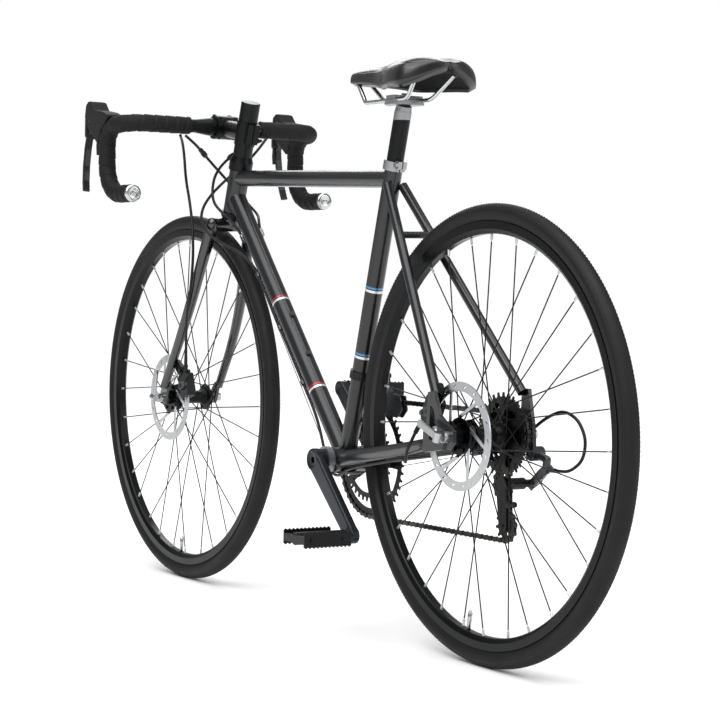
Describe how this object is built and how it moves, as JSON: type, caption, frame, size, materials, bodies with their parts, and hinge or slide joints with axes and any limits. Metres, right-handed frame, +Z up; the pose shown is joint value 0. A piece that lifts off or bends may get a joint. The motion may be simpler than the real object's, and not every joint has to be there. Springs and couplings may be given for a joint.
{
  "type": "road bicycle",
  "caption": "Road bicycle with drop handlebar, disc brakes, derailleur gears and spoked wheels; the bar steers, wheels, crank and pedals turn, levers and gears move.",
  "frame": {"origin": "centre of the bounding box's bottom, on the ground under the middle of the bicycle", "axes": "+X forward, +Y to the rider's left, +Z up"},
  "size_m": [1.6667, 0.4282, 0.9111],
  "materials": {
    "frame_paint": "satin charcoal paint",
    "fork_paint": "gloss black paint",
    "black_alloy": "satin black anodised",
    "grey_alloy": "grey anodised",
    "silver_alloy": "polished",
    "steel": "brushed",
    "dark_steel": "dark oxide",
    "tyre": "matte rubber",
    "hood_rubber": "matte",
    "tape": "ribbed wrap",
    "saddle_skin": "smooth",
    "plastic": "moulded"
  },
  "bodies": {
    "frame": {"head_tube": "frame_paint", "seat_tube": "frame_paint", "top_tube": "frame_paint", "down_tube": "frame_paint", "bottom_bracket_shell": "frame_paint", "dropouts": "frame_paint", "stays": "frame_paint", "frame_fittings": "silver_alloy", "bearing_cups": "silver_alloy", "chain": "dark_steel", "front_derailleur_body": "black_alloy", "rear_derailleur_knuckle": "black_alloy", "rear_brake_caliper": "black_alloy", "frame_housings": "plastic", "rear_axle": "steel"},
    "saddle": {"seatpost": "black_alloy", "saddle_rails": "steel", "saddle_shell": "plastic", "saddle_cover": "saddle_skin"},
    "steering": {"fork": "fork_paint", "headset_spacers": "black_alloy", "stem": "black_alloy", "handlebar": "black_alloy", "bar_tape": "tape", "brake_hoods": "hood_rubber", "front_axle": "steel", "front_brake_caliper": "black_alloy", "front_brake_housing": "plastic", "steering_housings": "plastic"},
    "front_wheel": {"front_tyre": "tyre", "front_rim": "black_alloy", "front_spokes": "dark_steel", "front_hub": "black_alloy", "front_rotor": "steel"},
    "rear_wheel": {"rear_tyre": "tyre", "rear_rim": "black_alloy", "rear_spokes": "dark_steel", "rear_hub": "black_alloy", "rear_rotor": "steel"},
    "cassette": {"cassette": "dark_steel"},
    "crank": {"crank_arms": "grey_alloy", "chainrings": "black_alloy"},
    "left_pedal": {"left_pedal": "black_alloy"},
    "right_pedal": {"right_pedal": "black_alloy"},
    "left_brake_lever": {"left_brake_lever": "black_alloy"},
    "right_brake_lever": {"right_brake_lever": "black_alloy"},
    "left_shift_paddle": {"left_shift_paddle": "plastic"},
    "right_shift_paddle": {"right_shift_paddle": "plastic"},
    "front_brake_arm": {"front_brake_arm": "grey_alloy"},
    "rear_brake_arm": {"rear_brake_arm": "grey_alloy"},
    "front_derailleur_link": {"front_derailleur_link": "black_alloy"},
    "front_derailleur_cage": {"front_derailleur_cage": "steel"},
    "rear_derailleur_outer_link": {"rear_derailleur_outer_link": "grey_alloy"},
    "rear_derailleur_inner_link": {"rear_derailleur_inner_link": "black_alloy"},
    "rear_derailleur_cage_knuckle": {"rear_derailleur_cage_knuckle": "black_alloy"},
    "rear_derailleur_cage": {"rear_derailleur_cage": "dark_steel"},
    "upper_jockey_wheel": {"upper_jockey_wheel": "plastic"},
    "lower_jockey_wheel": {"lower_jockey_wheel": "plastic"},
    "front_quick_release": {"front_quick_release": "silver_alloy"},
    "rear_quick_release": {"rear_quick_release": "silver_alloy"}
  },
  "joints": [
    {"name": "steering_turn", "type": "hinge", "parent": "frame", "child": "steering", "pos_m": [0.3233, 0, 0.686], "axis": [-0.3007, 0, 0.9537], "range_deg": [-70, 70], "deforming": ["steering_housings"]},
    {"name": "seat_height", "type": "slide", "parent": "frame", "child": "saddle", "axis": [-0.2622, 0, 0.965], "range_m": [-0.075, 0.035]},
    {"name": "front_wheel_spin", "type": "hinge", "parent": "steering", "child": "front_wheel", "pos_m": [0.4924, 0, 0.341], "axis": [0, 1, 0], "continuous": true},
    {"name": "rear_wheel_spin", "type": "hinge", "parent": "frame", "child": "rear_wheel", "pos_m": [-0.4924, 0, 0.341], "axis": [0, 1, 0], "continuous": true},
    {"name": "crank_spin", "type": "hinge", "parent": "frame", "child": "crank", "pos_m": [-0.09, 0, 0.273], "axis": [0, 1, 0], "continuous": true, "deforming": ["chain"]},
    {"name": "cassette_spin", "type": "hinge", "parent": "frame", "child": "cassette", "pos_m": [-0.4924, 0, 0.341], "axis": [0, 1, 0], "continuous": true},
    {"name": "left_pedal_spin", "type": "hinge", "parent": "crank", "child": "left_pedal", "pos_m": [-0.22155, 0.13, 0.16532], "axis": [0, 1, 0], "continuous": true},
    {"name": "right_pedal_spin", "type": "hinge", "parent": "crank", "child": "right_pedal", "pos_m": [0.04155, -0.13, 0.38067], "axis": [0, 1, 0], "continuous": true},
    {"name": "left_brake_lever_pull", "type": "hinge", "parent": "steering", "child": "left_brake_lever", "pos_m": [0.49529, 0.195, 0.84708], "axis": [0, 1, 0], "range_deg": [0, 18], "stiffness_Nm_per_rad": 3, "springref_deg": -2.86},
    {"name": "left_paddle_push", "type": "hinge", "parent": "left_brake_lever", "child": "left_shift_paddle", "pos_m": [0.49329, 0.1865, 0.82108], "axis": [-1, 0, 0], "range_deg": [0, 10], "stiffness_Nm_per_rad": 0.3, "springref_deg": -5.73},
    {"name": "right_brake_lever_pull", "type": "hinge", "parent": "steering", "child": "right_brake_lever", "pos_m": [0.49529, -0.195, 0.84708], "axis": [0, 1, 0], "range_deg": [0, 18], "stiffness_Nm_per_rad": 3, "springref_deg": -2.86},
    {"name": "right_paddle_push", "type": "hinge", "parent": "right_brake_lever", "child": "right_shift_paddle", "pos_m": [0.49329, -0.1865, 0.82108], "axis": [1, 0, 0], "range_deg": [0, 10], "stiffness_Nm_per_rad": 0.3, "springref_deg": -5.73},
    {"name": "front_brake_arm_pull", "type": "hinge", "parent": "steering", "child": "front_brake_arm", "pos_m": [0.42286, 0.0508, 0.36631], "axis": [0, 1, 0], "range_deg": [0, 15]},
    {"name": "rear_brake_arm_pull", "type": "hinge", "parent": "frame", "child": "rear_brake_arm", "pos_m": [-0.42589, 0.0635, 0.37344], "axis": [0, 1, 0], "range_deg": [0, 15]},
    {"name": "front_derailleur_swing", "type": "hinge", "parent": "frame", "child": "front_derailleur_link", "pos_m": [-0.14204, -0.0402, 0.412], "axis": [1, 0, 0], "range_deg": [0, 16]},
    {"name": "front_derailleur_cage_level", "type": "hinge", "parent": "front_derailleur_link", "child": "front_derailleur_cage", "pos_m": [-0.14204, -0.0437, 0.3883], "axis": [1, 0, 0], "range_deg": [-16, 0]},
    {"name": "rear_derailleur_swing", "type": "hinge", "parent": "frame", "child": "rear_derailleur_outer_link", "pos_m": [-0.5154, -0.08927, 0.28927], "axis": [0.5, 0.4563, 0.736], "range_deg": [-21, 36]},
    {"name": "rear_derailleur_inner_swing", "type": "hinge", "parent": "frame", "child": "rear_derailleur_inner_link", "pos_m": [-0.5154, -0.07873, 0.28273], "axis": [0.5, 0.4563, 0.736], "range_deg": [-21, 36]},
    {"name": "rear_derailleur_knuckle_level", "type": "hinge", "parent": "rear_derailleur_outer_link", "child": "rear_derailleur_cage_knuckle", "pos_m": [-0.47917, -0.10341, 0.27341], "axis": [0.5, 0.4563, 0.736], "range_deg": [-36, 21]},
    {"name": "rear_derailleur_cage_tension", "type": "hinge", "parent": "rear_derailleur_cage_knuckle", "child": "rear_derailleur_cage", "pos_m": [-0.4654, -0.0489, 0.265], "axis": [0, 1, 0], "range_deg": [-25, 35], "stiffness_Nm_per_rad": 0.4},
    {"name": "upper_jockey_spin", "type": "hinge", "parent": "rear_derailleur_cage", "child": "upper_jockey_wheel", "pos_m": [-0.4654, -0.0489, 0.265], "axis": [0, 1, 0], "continuous": true},
    {"name": "lower_jockey_spin", "type": "hinge", "parent": "rear_derailleur_cage", "child": "lower_jockey_wheel", "pos_m": [-0.47193, -0.0489, 0.20334], "axis": [0, 1, 0], "continuous": true},
    {"name": "front_quick_release_open", "type": "hinge", "parent": "steering", "child": "front_quick_release", "pos_m": [0.4924, 0.0721, 0.341], "axis": [-0.9848, 0, -0.1736], "range_deg": [0, 170]},
    {"name": "rear_quick_release_open", "type": "hinge", "parent": "frame", "child": "rear_quick_release", "pos_m": [-0.4924, 0.0906, 0.341], "axis": [-0.342, 0, 0.9397], "range_deg": [0, 170]}
  ],
  "couplings": [
    {"joint": "cassette_spin", "follows": "crank_spin", "ratio": 3.2},
    {"joint": "front_brake_arm_pull", "follows": "left_brake_lever_pull", "ratio": 0.8},
    {"joint": "rear_brake_arm_pull", "follows": "right_brake_lever_pull", "ratio": 0.8},
    {"joint": "front_derailleur_cage_level", "follows": "front_derailleur_swing", "ratio": -1},
    {"joint": "rear_derailleur_inner_swing", "follows": "rear_derailleur_swing", "ratio": 1},
    {"joint": "rear_derailleur_knuckle_level", "follows": "rear_derailleur_swing", "ratio": -1},
    {"joint": "upper_jockey_spin", "follows": "crank_spin", "ratio": -4.3636},
    {"joint": "lower_jockey_spin", "follows": "crank_spin", "ratio": 4.3636}
  ]
}
